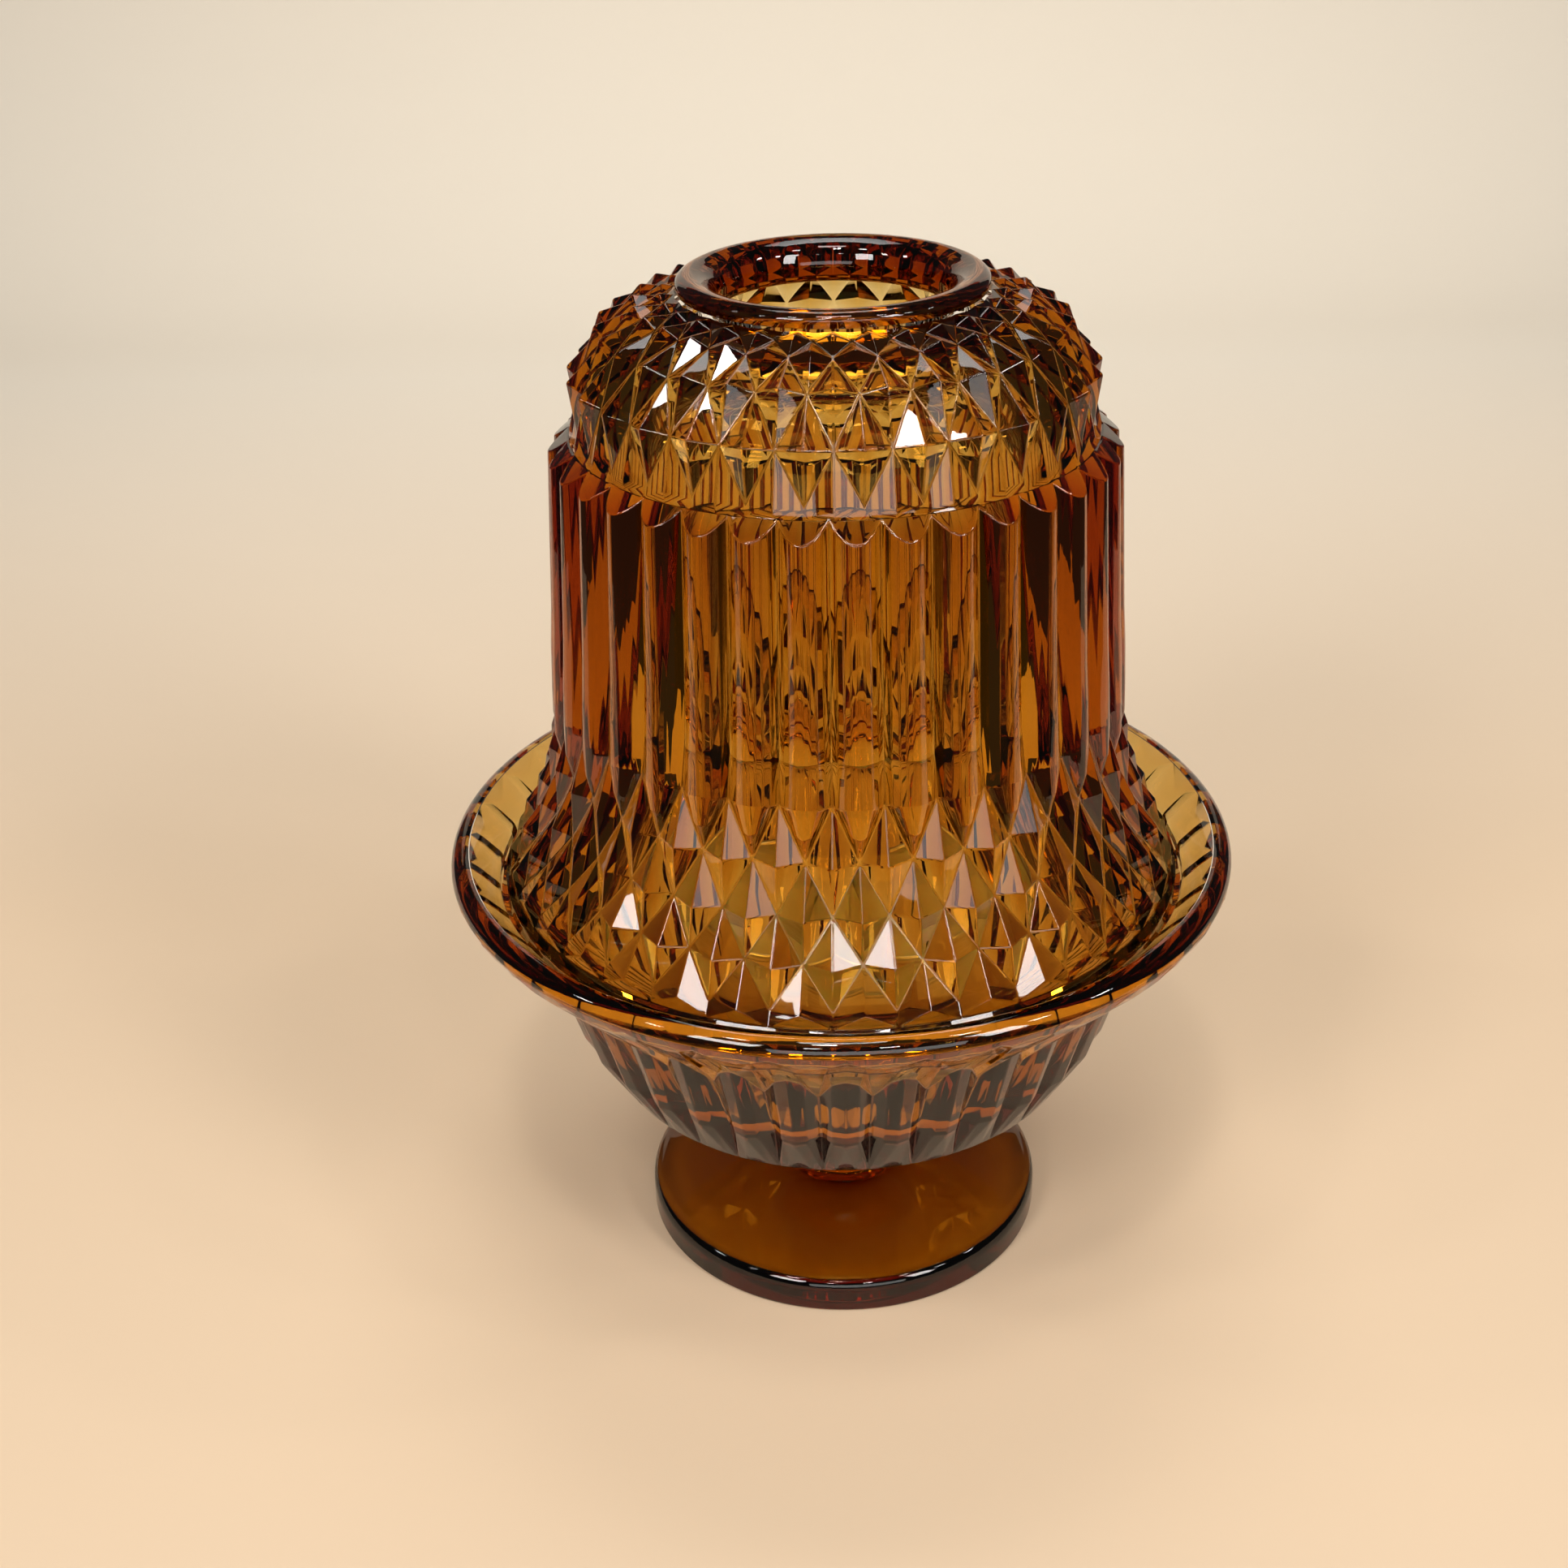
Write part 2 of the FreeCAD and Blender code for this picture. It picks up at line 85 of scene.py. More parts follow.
def spinOutline(bm, outline, steps, start):
    number = bm.verts.layers.int.get("number") or bm.verts.layers.int.new("number")
    old = set(bm.verts)
    chain = []
    for i, (radius, height) in enumerate(outline):
        vert = bm.verts.new(placed(radius, height, start))
        vert[number] = i
        chain.append(vert)
    edges = [bm.edges.new(pair) for pair in zip(chain, chain[1:])]
    bmesh.ops.spin(bm, geom=chain + edges, cent=(0, 0, 0), axis=(0, 0, 1), angle=math.tau, steps=steps,
                   use_merge=True)
    rings = {i: [] for i in range(len(outline))}
    for vert in bm.verts:
        if vert not in old:
            rings[vert[number]].append(vert)
    first = start - making["turnSlack"]
    for i, ring in rings.items():
        if outline[i][0] > 0:
            ring.sort(key=lambda vert: (math.degrees(math.atan2(vert.co.y, vert.co.x)) - first) % 360)
    return rings


# Moves a ring's points, each to the (radius, height) of its column

def shapeRing(ring, start, pattern):
    for column, vert in enumerate(ring):
        radius, height = pattern[column % len(pattern)]
        vert.co = placed(radius, height, start + column * 360 / len(ring))


def loopEdges(ring):
    edges = []
    for i, vert in enumerate(ring):
        other = ring[(i + 1) % len(ring)]
        edges.append(next(edge for edge in vert.link_edges if edge.other_vert(vert) is other))
    return edges


# Open edges between two heights and two radii

def openLoop(bm, low, high, inner=0.0, outer=math.inf):
    return [edge for edge in bm.edges if edge.is_boundary
            and all(low < vert.co.z < high and inner < vert.co.xy.length < outer for vert in edge.verts)]


# Rounds the given edges the way moulded glass is rounded

def softenEdges(bm, edges, size):
    bmesh.ops.bevel(bm, geom=edges, offset=size, offset_type="OFFSET", segments=making["bevelSegments"],
                    profile=0.5, affect="EDGES", clamp_overlap=True, material=-1)


# Closes a piece, brings it to metres and puts it in the place of its CAD node

def finishPiece(name, bm, body, node, material, facets=False):
    bmesh.ops.remove_doubles(bm, verts=bm.verts, dist=making["mergeGap"])
    bmesh.ops.recalc_face_normals(bm, faces=bm.faces)
    bmesh.ops.scale(bm, vec=(metresPerMm,) * 3, verts=bm.verts)
    number = bm.verts.layers.int.get("number")
    if number:
        bm.verts.layers.int.remove(number)
    for face in bm.faces:
        face.smooth = True
    openEdges = sum(1 for edge in bm.edges if not edge.is_manifold)
    mesh = bpy.data.meshes.new(name)
    bm.to_mesh(mesh)
    bm.free()
    mesh.set_sharp_from_angle(angle=math.radians(making["sharpAngle"]))
    mesh.materials.append(material)
    piece = bpy.data.objects.new(name, mesh)
    scene.collection.objects.link(piece)
    if facets:
        even = piece.modifiers.new("flat facets", "WEIGHTED_NORMAL")
        even.keep_sharp = True
        even.weight = making["facetWeight"]
    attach(piece, body)
    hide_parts(node)
    print("stage:", name, len(mesh.polygons), "faces,", openEdges, "open edges")


# Shared effect: bumps of two sizes, the broad one outside, and a mask that varies from place to place

def makeUnevenGroup():
    group = bpy.data.node_groups.new("unevenSurface", "ShaderNodeTree")
    group.interface.new_socket(name="Vector", in_out="INPUT", socket_type="NodeSocketVector")
    for name in ("Broad Size", "Broad Depth", "Fine Size", "Fine Depth"):
        group.interface.new_socket(name=name, in_out="INPUT", socket_type="NodeSocketFloat")
    group.interface.new_socket(name="Normal", in_out="OUTPUT", socket_type="NodeSocketVector")
    group.interface.new_socket(name="Mask", in_out="OUTPUT", socket_type="NodeSocketFloat")
    nodes = group.nodes
    links = group.links
    into = nodes.new("NodeGroupInput")
    out = nodes.new("NodeGroupOutput")
    normal = None
    for size in ("Fine", "Broad"):
        noise = nodes.new("ShaderNodeTexNoise")
        noise.inputs["Detail"].default_value = making["bumpDetail"]
        bump = nodes.new("ShaderNodeBump")
        links.new(into.outputs["Vector"], noise.inputs["Vector"])
        links.new(into.outputs[size + " Size"], noise.inputs["Scale"])
        links.new(noise.outputs["Fac"], bump.inputs["Height"])
        links.new(into.outputs[size + " Depth"], bump.inputs["Distance"])
        if normal:
            links.new(normal, bump.inputs["Normal"])
        normal = bump.outputs["Normal"]
    links.new(normal, out.inputs["Normal"])
    links.new(noise.outputs["Fac"], out.inputs["Mask"])
    return group


unevenGroup = makeUnevenGroup()


# A material with the uneven surface already on it; the mask shifts its roughness

def makeMaterial(name, values):
    material = bpy.data.materials.new(name)
    material.use_nodes = True
    nodes = material.node_tree.nodes
    links = material.node_tree.links
    shader = nodes["Principled BSDF"]
    coords = nodes.new("ShaderNodeTexCoord")
    stretch = nodes.new("ShaderNodeMapping")
    stretch.inputs["Scale"].default_value = values.get("stretch", (1, 1, 1))
    uneven = nodes.new("ShaderNodeGroup")
    uneven.node_tree = unevenGroup
    uneven.inputs["Broad Size"].default_value, uneven.inputs["Broad Depth"].default_value = values["broad"]
    uneven.inputs["Fine Size"].default_value, uneven.inputs["Fine Depth"].default_value = values["fine"]
    links.new(coords.outputs["Object"], stretch.inputs["Vector"])
    links.new(stretch.outputs["Vector"], uneven.inputs["Vector"])
    links.new(uneven.outputs["Normal"], shader.inputs["Normal"])
    polish = nodes.new("ShaderNodeMapRange")
    polish.inputs["To Min"].default_value, polish.inputs["To Max"].default_value = values["roughness"]
    links.new(uneven.outputs["Mask"], polish.inputs["Value"])
    links.new(polish.outputs["Result"], shader.inputs["Roughness"])
    return material, nodes, links, shader, uneven


# Paints from the first colour to the last while a value goes between the limits

def paintBetween(nodes, links, shader, value, limits, first, last):
    ramp = nodes.new("ShaderNodeValToRGB")
    for element, position, color in zip(ramp.color_ramp.elements, limits, (first, last)):
        element.position = position
        element.color = (*color, 1)
    links.new(value, ramp.inputs["Fac"])
    links.new(ramp.outputs["Color"], shader.inputs["Base Color"])


# Amber pressed glass: its colour comes from the glass that the light goes through, a little more in the shade

amberGlass = {
    "tintLow": (0.97, 0.93, 0.86), "tintHigh": (1.0, 0.98, 0.94), "mask": (0.35, 0.65),
    "absorb": (0.875, 0.67, 0.01), "density": 320.0, "shadeDensity": 510.0,  # per metre
    "ior": 1.52, "roughness": (0.004, 0.02),
    "broad": (110.0, 0.00003), "fine": (260.0, 0.000001),
}


def makeGlass(name, values, density):
    material, nodes, links, glass, uneven = makeMaterial(name, values)
    glass.inputs["IOR"].default_value = values["ior"]
    glass.inputs["Transmission Weight"].default_value = 1.0
    mask = uneven.outputs["Mask"]
    paintBetween(nodes, links, glass, mask, values["mask"], values["tintLow"], values["tintHigh"])
    absorb = nodes.new("ShaderNodeVolumeAbsorption")
    absorb.inputs["Color"].default_value = (*values["absorb"], 1)
    absorb.inputs["Density"].default_value = density
    links.new(absorb.outputs["Volume"], nodes["Material Output"].inputs["Volume"])
    return material


baseAmber = makeGlass("baseAmber", amberGlass, amberGlass["density"])
shadeAmber = makeGlass("shadeAmber", amberGlass, amberGlass["shadeDensity"])


# Shade: straight ribs over a flared skirt of diamonds, with a shoulder of diamonds above

shadeSizes = {
    "ribs": 36, "diamonds": 30, "turn": -1.9, "shoulderTurn": 1.1,
    "bandBottom": (56.2, 69.05), "bandTop": (56.2, 71.6), "skirtFoot": (55.3, 72.6),
    "skirtRows": ((44.2, 103.8), (45.4, 94.9), (47.6, 87.2), (50.7, 80.8), (54.0, 74.6)),
    "skirtRise": 2.0, "skirtLowRise": 1.2,
    "ribEnd": (44.2, 103.8, 2.0), "ribHalfEndRise": 1.6, "ribFlare": (42.7, 111.0), "ribWaist": (42.2, 118.0),
    "ribTop": (40.9, 146.0), "ribCrestTop": 143.6, "ribRatio": 1.074, "ribSteps": 8,
    "shoulderCentre": (22.2, 149.5), "shoulderArc": 17.2, "shoulderTop": (23.65, 167.1),
    "shoulderClimb": (-6.6, 19.2, 45.3, 66.0, 79.0), "shoulderRise": (0.0, 2.1, 1.9, 1.5, 1.1),
    "shoulderLow": (40.4, 146.0), "archRadius": 40.3,
    "ring": ((23.2, 167.5), (23.5, 169.0, 1.4), (21.6, 170.1, 2.0), (18.4, 168.9, 1.8), (17.3, 166.2, 1.4),
             (17.35, 165.0)),
    "opening": ((17.35, 165.0), (17.3, 163.3, 1.0), (23.0, 163.3)),
    "crown": (23.2, 149.3, 14.0), "crownArc": (88, 0), "crownSteps": 14,
    "inside": ((38.4, 114.0, 12.0), (41.8, 94.0, 8.0), (46.6, 82.5, 5.0), (52.0, 72.5, 2.0), (52.4, 69.05)),
    "insideSteps": 8, "softEdge": 0.28, "softAngle": 11.0, "flatSlack": 0.01, "ribGap": 0.002,
    # radii between which the open edges of each join lie, and how far from its height they may be
    "shoulderFootJoin": (40.0, 40.6), "shoulderFootSlack": 0.1,
    "shoulderTopJoin": (23.5, 24.2), "shoulderTopSlack": 0.3, "bottomJoin": (50.0, 57.0), "bottomSlack": 1.0,
}


def buildSkirt(bm, sizes):
    rows = sizes["skirtRows"]
    levels = [(sizes["bandBottom"],) * 2, (sizes["bandTop"],) * 2, (sizes["skirtFoot"],) * 2]
    for row in (4, 3, 2, 1):
        apex = (rows[row][0] + sizes["skirtLowRise" if row == 4 else "skirtRise"], rows[row][1])
        levels.append((rows[row], apex) if row in (2, 4) else (apex, rows[row]))
    levels.append((rows[0], rows[0]))
    start = front + sizes["turn"]
    rings = spinOutline(bm, [level[0] for level in levels], 2 * sizes["ribs"], start)
    for i, level in enumerate(levels):
        shapeRing(rings[i], start, level)
    valleyTops = rings[7][0::2]
    valleys = rings[6][1::2] + rings[5][0::2] + rings[4][1::2] + rings[3][0::2] + valleyTops
    bmesh.ops.connect_verts(bm, verts=valleys)
    bmesh.ops.connect_verts(bm, verts=rings[2][0::2] + rings[3][1::2])
    bmesh.ops.delete(bm, geom=rings[7][1::2], context="VERTS")  # leaves the gaps that the rib ends fill
    gaps = [edge for top in valleyTops for edge in top.link_edges if edge.is_boundary]
    bmesh.ops.subdivide_edges(bm, edges=gaps, cuts=1)


# One rib from a flat grid, then copies round the axis

def buildRibs(bm, sizes):
    ribs = sizes["ribs"]
    half = 180.0 / ribs
    centre = front + sizes["turn"] + half
    tip = sizes["skirtRows"][1]
    end = sizes["ribEnd"]
    middle = (placed(*sizes["skirtRows"][0], half) + placed(*tip, 0)) / 2
    middleRadius = math.hypot(middle.x, middle.y)
    middleTurn = math.degrees(math.atan2(middle.y, middle.x)) / half
    ratio = sizes["ribRatio"]
    topRadius, topHeight = sizes["ribTop"]
    reach = topRadius * math.cos(math.radians(half))
    slope = (topHeight - sizes["ribCrestTop"]) / (topRadius * ratio - reach)
    rows = [  # valley radius, crest radius, height, width
        (tip[0], tip[0], tip[1], 0.0),
        (middleRadius, middleRadius + sizes["ribHalfEndRise"], middle.z, middleTurn),
        (end[0], end[0] + end[2], end[1], 1.0),
        (sizes["ribFlare"][0], sizes["ribFlare"][0] * ratio, sizes["ribFlare"][1], 1.0),
        (sizes["ribWaist"][0], sizes["ribWaist"][0] * ratio, sizes["ribWaist"][1], 1.0),
        (topRadius, topRadius * ratio, None, 1.0),
        (None, None, topHeight, 1.0),
    ]
    flat = bmesh.ops.create_grid(bm, x_segments=sizes["ribSteps"], y_segments=len(rows) - 1, size=1.0)
    grid = flat["verts"]
    for vert in grid:
        across = vert.co.x
        valley, crest, height, width = rows[round((vert.co.y + 1) / 2 * (len(rows) - 1))]
        turn = across * half * width
        if valley is None:  # straight edge of the flat above the ribs
            radius = reach / math.cos(math.radians(turn))
        else:
            radius = valley + (crest - valley) * (1 - across ** 2)
        if height is None:  # slanted top of the rib
            height = topHeight - slope * (radius * math.cos(math.radians(turn)) - reach)
        vert.co = placed(radius, height, centre + turn)
    faces = list({face for vert in grid for face in vert.link_faces})
    edges = list({edge for vert in grid for edge in vert.link_edges})
    bmesh.ops.spin(bm, geom=grid + edges + faces, cent=(0, 0, 0), axis=(0, 0, 1),
                   angle=math.tau * (1 - 1 / ribs), steps=ribs - 1, use_duplicate=True)


def buildShoulder(bm, sizes):
    start = front + sizes["turn"] + sizes["shoulderTurn"]
    nodes = []
    apexes = []
    for climb, rise in zip(sizes["shoulderClimb"], sizes["shoulderRise"]):
        angle = math.radians(climb)
        for points, arc in ((nodes, sizes["shoulderArc"]), (apexes, sizes["shoulderArc"] + rise)):
            points.append((sizes["shoulderCentre"][0] + arc * math.cos(angle),
                           sizes["shoulderCentre"][1] + arc * math.sin(angle)))
    arch = (sizes["archRadius"], nodes[0][1])
    # even columns carry the corners of the odd levels, odd columns the lower tips
    levels = [(sizes["shoulderLow"],) * 2, (arch, nodes[0]), (nodes[1], apexes[1]), (apexes[2], nodes[2]),
              (nodes[3], apexes[3]), (apexes[4], nodes[4]), (sizes["shoulderTop"],) * 2]
    rings = spinOutline(bm, [level[0] for level in levels], 2 * sizes["diamonds"], start)
    for i, level in enumerate(levels):
        shapeRing(rings[i], start, level)
    joined = rings[1][1::2] + rings[2][0::2] + rings[3][1::2] + rings[4][0::2]
    joined += rings[5][1::2] + rings[6][0::2]
    bmesh.ops.connect_verts(bm, verts=joined)


def buildShade(sizes):
    bm = bmesh.new()
    buildSkirt(bm, sizes)
    buildRibs(bm, sizes)
    bmesh.ops.remove_doubles(bm, verts=bm.verts, dist=sizes["ribGap"])
    bmesh.ops.recalc_face_normals(bm, faces=bm.faces)
    seam = sizes["ribTop"][1]
    slack = sizes["shoulderFootSlack"]
    ribTop = openLoop(bm, seam - slack, seam + slack)
    buildShoulder(bm, sizes)
    shoulderFoot = openLoop(bm, seam - slack, seam + slack, *sizes["shoulderFootJoin"])
    bmesh.ops.bridge_loops(bm, edges=ribTop + shoulderFoot)
    soft = [edge for edge in bm.edges
            if edge.is_manifold and edge.calc_face_angle(0) > math.radians(sizes["softAngle"])
            and any(abs(vert.co.z - seam) > sizes["flatSlack"] for vert in edge.verts)]
    softenEdges(bm, soft, sizes["softEdge"])
    crown = arcPoints(*sizes["crown"], *sizes["crownArc"], sizes["crownSteps"])
    outline = (softCorners(sizes["ring"]) + softCorners(sizes["opening"])[1:] + crown
               + softCorners(sizes["inside"], sizes["insideSteps"]))
    rings = spinOutline(bm, outline, making["roundSteps"], front)
    top = sizes["shoulderTop"][1]
    slack = sizes["shoulderTopSlack"]
    shoulderTop = openLoop(bm, top - slack, top + slack, *sizes["shoulderTopJoin"])
    bmesh.ops.bridge_loops(bm, edges=shoulderTop + loopEdges(rings[0]))
    bottom = sizes["bandBottom"][1]
    slack = sizes["bottomSlack"]
    bmesh.ops.bridge_loops(bm, edges=openLoop(bm, bottom - slack, bottom + slack, *sizes["bottomJoin"]))
    finishPiece("shadeGlass", bm, "shade", "shade", shadeAmber, True)


buildShade(shadeSizes)


# Base: foot and stem, bowl with ribs, scalloped edge and rolled rim

baseSizes = {
    "ribs": 36, "columns": 4, "cornerSteps": 6, "rimSteps": 12,  # four columns of points to a rib
    "foot": ((0.0, 0.0), (34.8, 0.0, 0.6), (34.8, 6.0, 2.2), (11.5, 8.8, 3.0), (8.2, 12.0, 2.0),
             (8.2, 23.0, 6.0), (15.0, 31.0, 5.0), (39.8, 34.9)),
    # each level of the ribs: crest, flank, valley
    "underEdge": ((41.0, 35.2), (41.0, 35.2), (41.0, 35.2)),
    "ribLow": ((46.4, 44.1), (45.6, 44.0), (43.2, 43.7)),
    "ribHigh": ((51.3, 60.3), (50.5, 59.1), (48.2, 55.3)),
    "scallop": ((64.85, 73.4), (63.9, 71.9), (63.1, 71.0)),
    "collar": ((64.95, 74.0), (64.95, 74.0), (64.95, 74.0)),
    "rimRoll": (62.4, 74.1, 2.6), "rimArc": (3, 88),
    "inside": ((62.1, 76.7, 0.3), (60.3, 74.9, 0.8), (57.2, 71.2, 0.8), (57.2, 69.0, 0.3),
               (51.2, 69.0, 0.5), (44.6, 56.0, 6.0), (39.0, 44.5, 3.0), (35.5, 40.95, 2.0), (0.0, 40.95)),
    "softEdge": 0.3, "softAngle": 9.0,
}


def buildBase(sizes):
    bm = bmesh.new()
    columns = sizes["columns"]
    foot = softCorners(sizes["foot"], sizes["cornerSteps"])
    pattern = [sizes[name] for name in ("underEdge", "ribLow", "ribHigh", "scallop", "collar")]
    roll = arcPoints(*sizes["rimRoll"], *sizes["rimArc"], sizes["rimSteps"])
    inside = softCorners(sizes["inside"], sizes["cornerSteps"])
    outline = foot + [level[0] for level in pattern] + roll + inside
    rings = spinOutline(bm, outline, columns * sizes["ribs"], front)
    under, low, high, scallop, collar = (rings[len(foot) + i] for i in range(len(pattern)))
    for ring, (crest, flank, valley) in zip((under, low, high, scallop, collar), pattern):
        shapeRing(ring, front, (crest, flank, valley, flank))
    bmesh.ops.connect_verts(bm, verts=low[0::columns] + under[1::2])  # a flat triangle under each crest
    bmesh.ops.connect_verts(bm, verts=low[1::2] + under[2::columns])
    bmesh.ops.connect_verts(bm, verts=high[0::2] + scallop[1::2])
    number = bm.verts.layers.int["number"]
    patterned = range(len(foot), len(foot) + len(pattern) - 1)
    bmesh.ops.recalc_face_normals(bm, faces=bm.faces)
    soft = [edge for edge in bm.edges
            if edge.is_manifold and edge.calc_face_angle(0) > math.radians(sizes["softAngle"])
            and all(vert[number] in patterned for vert in edge.verts)]
    softenEdges(bm, soft, sizes["softEdge"])
    finishPiece("baseGlass", bm, "base", "base", baseAmber, True)


buildBase(baseSizes)


# Tealight: pressed metal cup with a rolled lip, wax, braided wick and the tab that holds it

cupMetal = {
    "color": (0.80, 0.80, 0.82), "dullShare": 0.86, "mask": (0.3, 0.7), "roughness": (0.26, 0.42),
    "stretch": (1, 1, 9), "broad": (260.0, 0.00004), "fine": (1400.0, 0.00001),
}
tabMetal = {
    "color": (0.62, 0.62, 0.64), "dullShare": 0.86, "mask": (0.3, 0.7), "roughness": (0.3, 0.5),
    "stretch": (6, 1, 1), "broad": (300.0, 0.00003), "fine": (1800.0, 0.00001),
}
waxLook = {
    "pale": (0.90, 0.87, 0.79), "deep": (0.82, 0.77, 0.66), "mask": (0.3, 0.7), "roughness": (0.3, 0.5),
    "glow": 0.4, "glowDepth": 0.004,
    "broad": (110.0, 0.0002), "fine": (900.0, 0.00002),
}
wickLook = {
    "cotton": (0.80, 0.76, 0.66), "charred": (0.03, 0.025, 0.02), "charStart": 0.0565, "charEnd": 0.0585,
    "roughness": (0.8, 0.95), "stretch": (1, 1, 3), "broad": (900.0, 0.0001), "fine": (4000.0, 0.00004),
}
candleSizes = {
    "cornerSteps": 3,
    "cup": ((0.0, 41.3), (15.2, 41.3, 0.5), (16.2, 41.0, 0.5), (18.7, 41.0, 0.9), (19.2, 42.3, 0.5),
            (19.2, 50.4, 0.3), (19.45, 51.0, 0.4), (19.2, 51.6, 0.3), (19.2, 55.2, 0.2), (19.6, 55.5, 0.25),
            (19.6, 56.3, 0.35), (19.25, 56.6, 0.2), (18.9, 56.4, 0.2), (18.85, 52.0), (18.85, 42.0, 0.6),
            (0.0, 41.38)),
    "wax": ((0.0, 41.85), (6.6, 41.85), (6.6, 41.45), (18.0, 41.45, 0.6), (18.65, 42.2, 0.5),
            (18.65, 53.8, 0.2), (17.8, 53.45, 0.8), (12.0, 53.05, 4.0), (4.0, 53.0, 3.0), (1.7, 53.5, 0.6),
            (0.95, 53.75, 0.2), (0.0, 53.75)),
    "tab": ((0.0, 41.42), (6.5, 41.42, 0.1), (6.5, 41.8, 0.15), (2.2, 41.82, 0.4), (1.6, 42.5, 0.4),
            (1.6, 44.35, 0.2), (0.95, 44.35, 0.1), (0.9, 43.9), (0.0, 43.9)),
    "wick": {"bottom": 42.0, "top": 59.9, "radius": 0.72, "strandRise": 0.16, "strands": 3, "sides": 24,
             "levels": 48, "twist": 900.0, "tipLevels": 5, "tipNarrow": 0.55},
}


def makeMetal(name, values):
    material, nodes, links, metal, uneven = makeMaterial(name, values)
    metal.inputs["Metallic"].default_value = 1.0
    dull = tuple(part * values["dullShare"] for part in values["color"])
    paintBetween(nodes, links, metal, uneven.outputs["Mask"], values["mask"], dull, values["color"])
    return material


def makeWax(name, values):
    material, nodes, links, wax, uneven = makeMaterial(name, values)
    paintBetween(nodes, links, wax, uneven.outputs["Mask"], values["mask"], values["deep"], values["pale"])
    wax.inputs["Subsurface Weight"].default_value = values["glow"]
    wax.inputs["Subsurface Scale"].default_value = values["glowDepth"]
    return material


def makeWick(name, values):
    material, nodes, links, wick, uneven = makeMaterial(name, values)
    coords = nodes.new("ShaderNodeTexCoord")
    split = nodes.new("ShaderNodeSeparateXYZ")
    height = nodes.new("ShaderNodeMapRange")
    height.inputs["From Min"].default_value = values["charStart"]
    height.inputs["From Max"].default_value = values["charEnd"]
    links.new(coords.outputs["Object"], split.inputs["Vector"])
    links.new(split.outputs["Z"], height.inputs["Value"])
    paintBetween(nodes, links, wick, height.outputs["Result"], (0, 1), values["cotton"], values["charred"])
    return material


def buildTurned(name, outline, node, material):
    bm = bmesh.new()
    spinOutline(bm, softCorners(outline, candleSizes["cornerSteps"]), making["candleSteps"], front)
    finishPiece(name, bm, "candle", node, material)


# A lobed ring raised and turned step by step, so that the strands wind round each other

def buildWick(sizes, material):
    bm = bmesh.new()
    disc = bmesh.ops.create_circle(bm, cap_ends=True, segments=sizes["sides"], radius=sizes["radius"])
    ring = disc["verts"]
    for vert in ring:
        angle = math.atan2(vert.co.y, vert.co.x)
        vert.co *= 1 + sizes["strandRise"] * abs(math.cos(sizes["strands"] * angle / 2))
    bmesh.ops.translate(bm, verts=ring, vec=(0, 0, sizes["bottom"]))
    edges = list(bm.edges)
    step = (sizes["top"] - sizes["bottom"]) / sizes["levels"]
    turn = Matrix.Rotation(math.radians(sizes["twist"] / sizes["levels"]), 3, "Z")
    for level in range(sizes["levels"]):
        pushed = bmesh.ops.extrude_edge_only(bm, edges=edges)["geom"]
        ring = [item for item in pushed if isinstance(item, bmesh.types.BMVert)]
        edges = [item for item in pushed if isinstance(item, bmesh.types.BMEdge)]
        bmesh.ops.translate(bm, verts=ring, vec=(0, 0, step))
        bmesh.ops.rotate(bm, verts=ring, cent=(0, 0, 0), matrix=turn)
        if level >= sizes["levels"] - sizes["tipLevels"]:
            narrow = sizes["tipNarrow"] ** (1 / sizes["tipLevels"])
            bmesh.ops.scale(bm, verts=ring, vec=(narrow, narrow, 1))
    bmesh.ops.contextual_create(bm, geom=edges)
    finishPiece("wickBraid", bm, "candle", "candle_wick", material)


buildTurned("cupShell", candleSizes["cup"], "candle_cup", makeMetal("cupMetal", cupMetal))
buildTurned("waxFill", candleSizes["wax"], "candle_wax", makeWax("candleWax", waxLook))
buildTurned("tabDisc", candleSizes["tab"], "wick_tab", makeMetal("tabMetal", tabMetal))
buildWick(candleSizes["wick"], makeWick("wickCotton", wickLook))


# Studio: pale floor that sweeps up behind, soft lights in a dim room, camera

studio = {
    "floorColor": (0.74, 0.56, 0.38), "backdropColor": (0.80, 0.72, 0.60), "blend": (0.1, 0.5),
    "floorRoughness": 0.9, "floorHeight": -0.0001,
    "sweepBack": 0.55, "sweepRound": 0.2, "sweepSteps": 12, "wide": 0.44, "near": 0.125, "tall": 0.5,
    "roomColor": (0.045, 0.042, 0.04), "roomStrength": 1.0,
}
softboxes = {  # place, aimed at, size, spread, watts, colour
    "overheadSoftbox": ((0.0, 0.4, 1.1), (0, 0.45, 0.0), (0.6, 0.4), 90, 1.35, (1.0, 0.98, 0.95)),
    "ceilingSoftbox": ((0.0, -0.3, 1.2), (0, 0, 0.1), (0.3, 0.16), 180, 1.4, (1.0, 0.98, 0.97)),
    "frontSoftbox": ((0.1, -0.95, 0.3), (0, 0, 0.04), (0.9, 0.36), 180, 2.8, (1.0, 0.97, 0.93)),
    "leftLamp": ((-0.5, -0.75, 0.68), (0, 0, 0.1), (0.3, 0.3), 180, 4.4, (1.0, 0.98, 0.96)),
    "rightLamp": ((0.6, -0.62, 0.64), (0, 0, 0.1), (0.2, 0.4), 180, 3.8, (1.0, 0.98, 0.96)),
    "roomLamp": ((-0.06, -0.45, 0.95), (0, 0, 0.1), (0.08, 0.08), 180, 1.2, (1.0, 0.97, 0.92)),
}
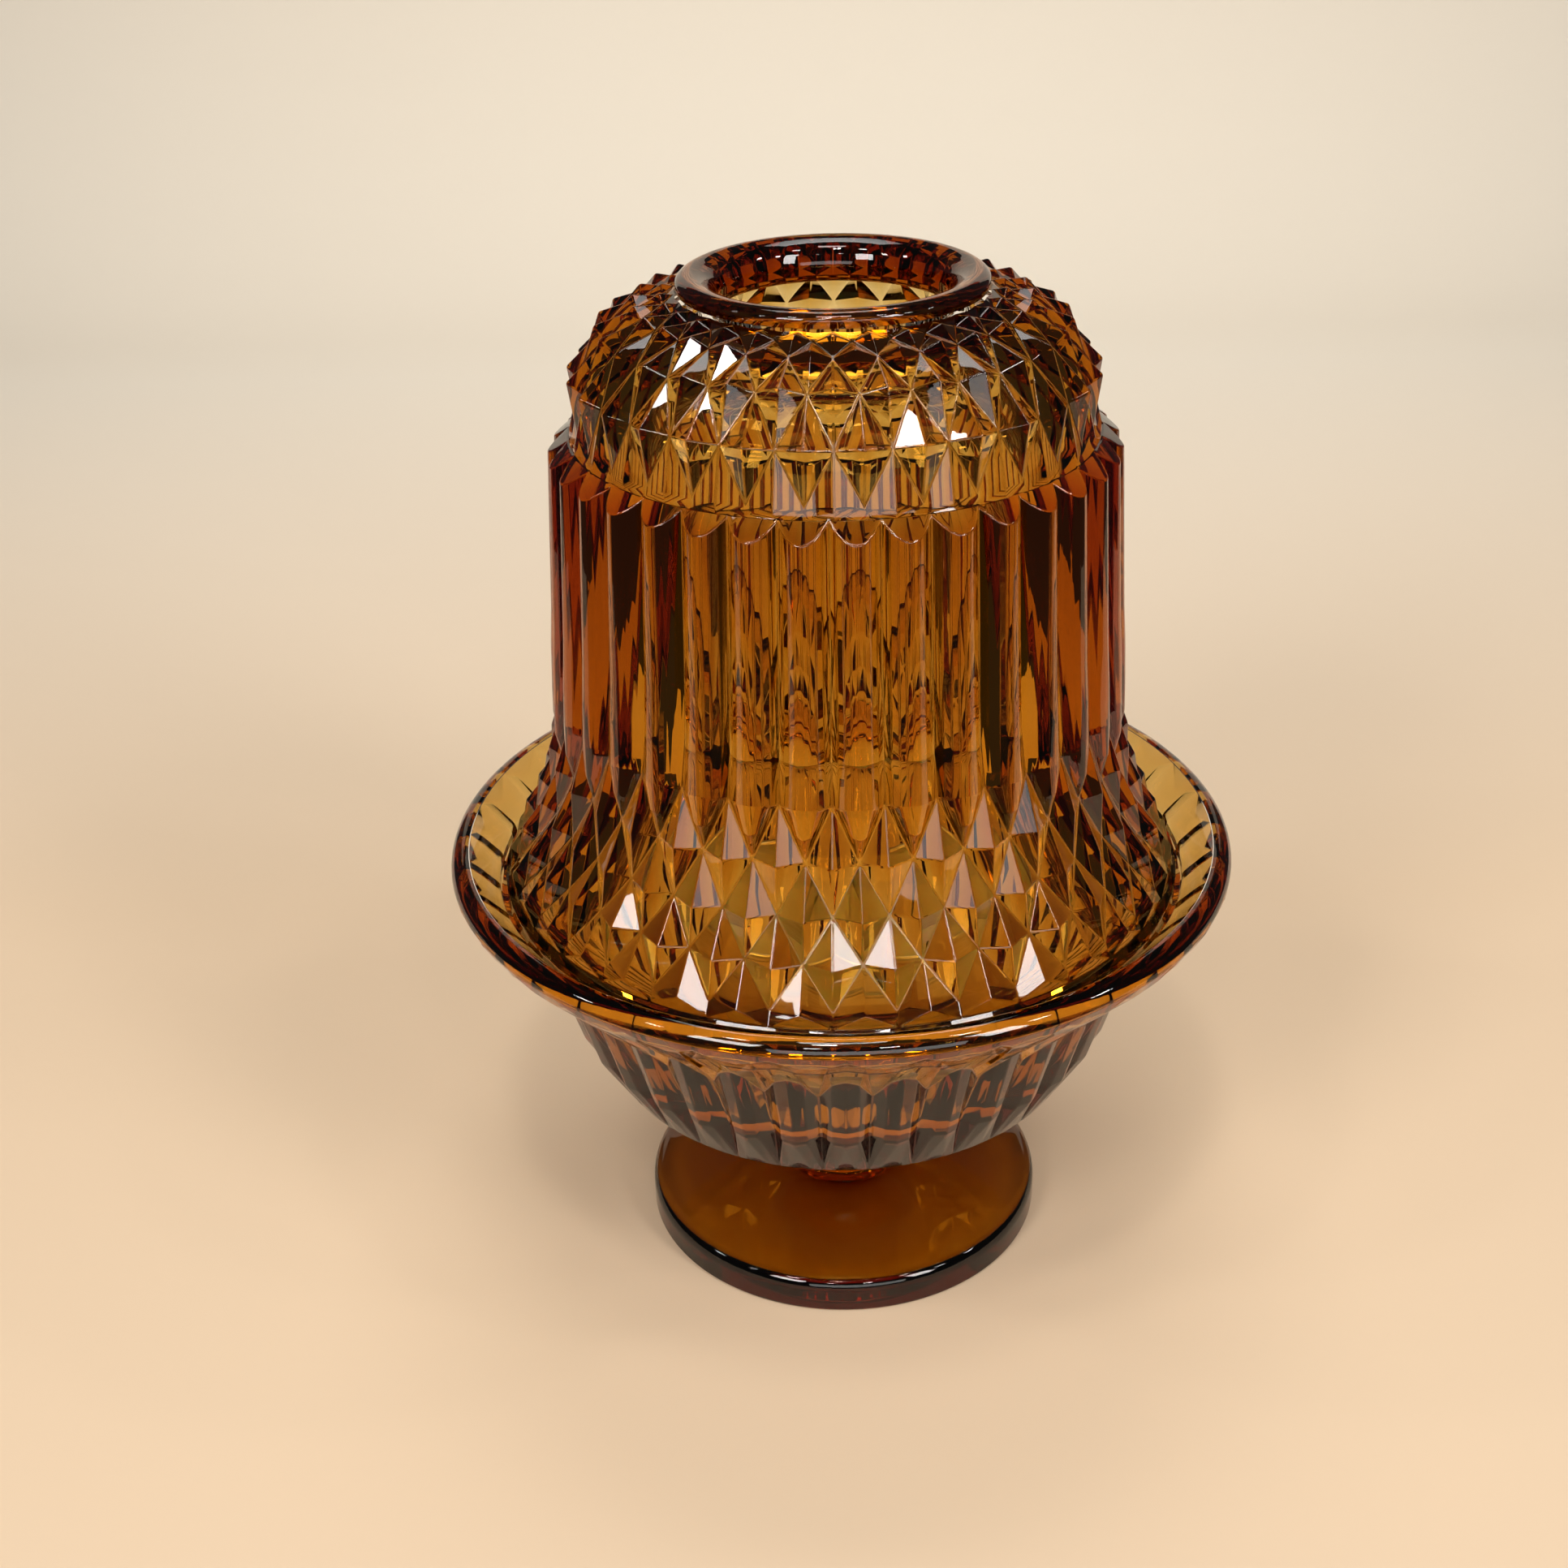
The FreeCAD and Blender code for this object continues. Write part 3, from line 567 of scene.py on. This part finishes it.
glintLamps = {  # small far lamps, seen as sparks in the facets: size, spread, watts, colour
    "target": (0, 0, 0.1), "lamp": ((0.08, 0.08), 180, 0.55, (1.0, 0.99, 0.98)),
    "places": ((-0.85, -0.1, 0.75), (0.85, -0.1, 0.78), (-0.75, -0.45, 0.85), (0.72, -0.4, 0.8),
               (0.2, -0.85, 0.8), (-0.15, -0.9, 0.85), (-0.35, -0.4, 0.95), (0.4, -0.35, 1.0)),
}


def buildStudio(values):
    bm = bmesh.new()
    floorHeight = values["floorHeight"]
    back = values["sweepBack"]
    rounding = values["sweepRound"]
    points = [(-values["near"], floorHeight)]
    points += arcPoints(back, floorHeight + rounding, rounding, -90, 0, values["sweepSteps"])
    points.append((back + rounding, values["tall"]))
    chain = [bm.verts.new((-values["wide"], y, z)) for y, z in points]
    edges = [bm.edges.new(pair) for pair in zip(chain, chain[1:])]
    pushed = bmesh.ops.extrude_edge_only(bm, edges=edges)["geom"]
    moved = [item for item in pushed if isinstance(item, bmesh.types.BMVert)]
    bmesh.ops.translate(bm, vec=(2 * values["wide"], 0, 0), verts=moved)
    bmesh.ops.recalc_face_normals(bm, faces=bm.faces)
    for face in bm.faces:
        face.smooth = True
    mesh = bpy.data.meshes.new("studioSweep")
    bm.to_mesh(mesh)
    bm.free()
    sweep = bpy.data.objects.new("studioSweep", mesh)
    scene.collection.objects.link(sweep)
    paper = bpy.data.materials.new("studioPaper")
    paper.use_nodes = True
    nodes = paper.node_tree.nodes
    links = paper.node_tree.links
    shader = nodes["Principled BSDF"]
    shader.inputs["Roughness"].default_value = values["floorRoughness"]
    coords = nodes.new("ShaderNodeTexCoord")
    split = nodes.new("ShaderNodeSeparateXYZ")
    links.new(coords.outputs["Object"], split.inputs["Vector"])
    depth = split.outputs["Y"]
    paintBetween(nodes, links, shader, depth, values["blend"], values["floorColor"], values["backdropColor"])
    mesh.materials.append(paper)
    world = bpy.data.worlds.new("studioRoom")
    world.use_nodes = True
    background = world.node_tree.nodes["Background"]
    background.inputs["Color"].default_value = (*values["roomColor"], 1)
    background.inputs["Strength"].default_value = values["roomStrength"]
    scene.world = world


def addSoftbox(name, place, target, size, spread, watts, color):
    light = bpy.data.lights.new(name, "AREA")
    light.shape = "RECTANGLE"
    light.size, light.size_y = size
    light.spread = math.radians(spread)
    light.energy = watts
    light.color = color
    lamp = bpy.data.objects.new(name, light)
    lamp.location = place
    lamp.rotation_euler = (Vector(target) - Vector(place)).to_track_quat("-Z", "Y").to_euler()
    scene.collection.objects.link(lamp)


buildStudio(studio)
for lampName, lampValues in softboxes.items():
    addSoftbox(lampName, *lampValues)

cameraSetup = {
    "focalPixels": 2590.0, "framePixels": 1932.0, "sensorWidth": 36.0, "nearest": 0.01,
    "distance": 0.3086, "height": 0.25,
    "pitch": 28.3, "roll": -1.48, "yaw": -1.69, "orbit": -0.6,
}


def addCamera(values):
    pitch, roll, yaw = (math.radians(values[name]) for name in ("pitch", "roll", "yaw"))
    ahead = Vector((math.sin(yaw) * math.cos(pitch), math.cos(yaw) * math.cos(pitch), -math.sin(pitch)))
    right = Vector((math.cos(yaw), -math.sin(yaw), 0))
    up = right.cross(ahead)
    rolledRight = right * math.cos(roll) + up * math.sin(roll)
    rolledUp = up * math.cos(roll) - right * math.sin(roll)
    axes = Matrix((rolledRight, rolledUp, -ahead)).transposed().to_4x4()
    place = Matrix.Translation((0, -values["distance"], values["height"])) @ axes
    camera = bpy.data.objects.new("frontCamera", bpy.data.cameras.new("frontCamera"))
    camera.matrix_world = Matrix.Rotation(math.radians(values["orbit"]), 4, "Z") @ place
    camera.data.sensor_width = values["sensorWidth"]
    camera.data.lens = values["sensorWidth"] * values["focalPixels"] / values["framePixels"]
    camera.data.clip_start = values["nearest"]
    scene.collection.objects.link(camera)
    scene.camera = camera


for number, place in enumerate(glintLamps["places"]):
    addSoftbox("glintLamp" + str(number), place, glintLamps["target"], *glintLamps["lamp"])
addCamera(cameraSetup)
scene.view_settings.view_transform = "Standard"
print("stage: studio ready")
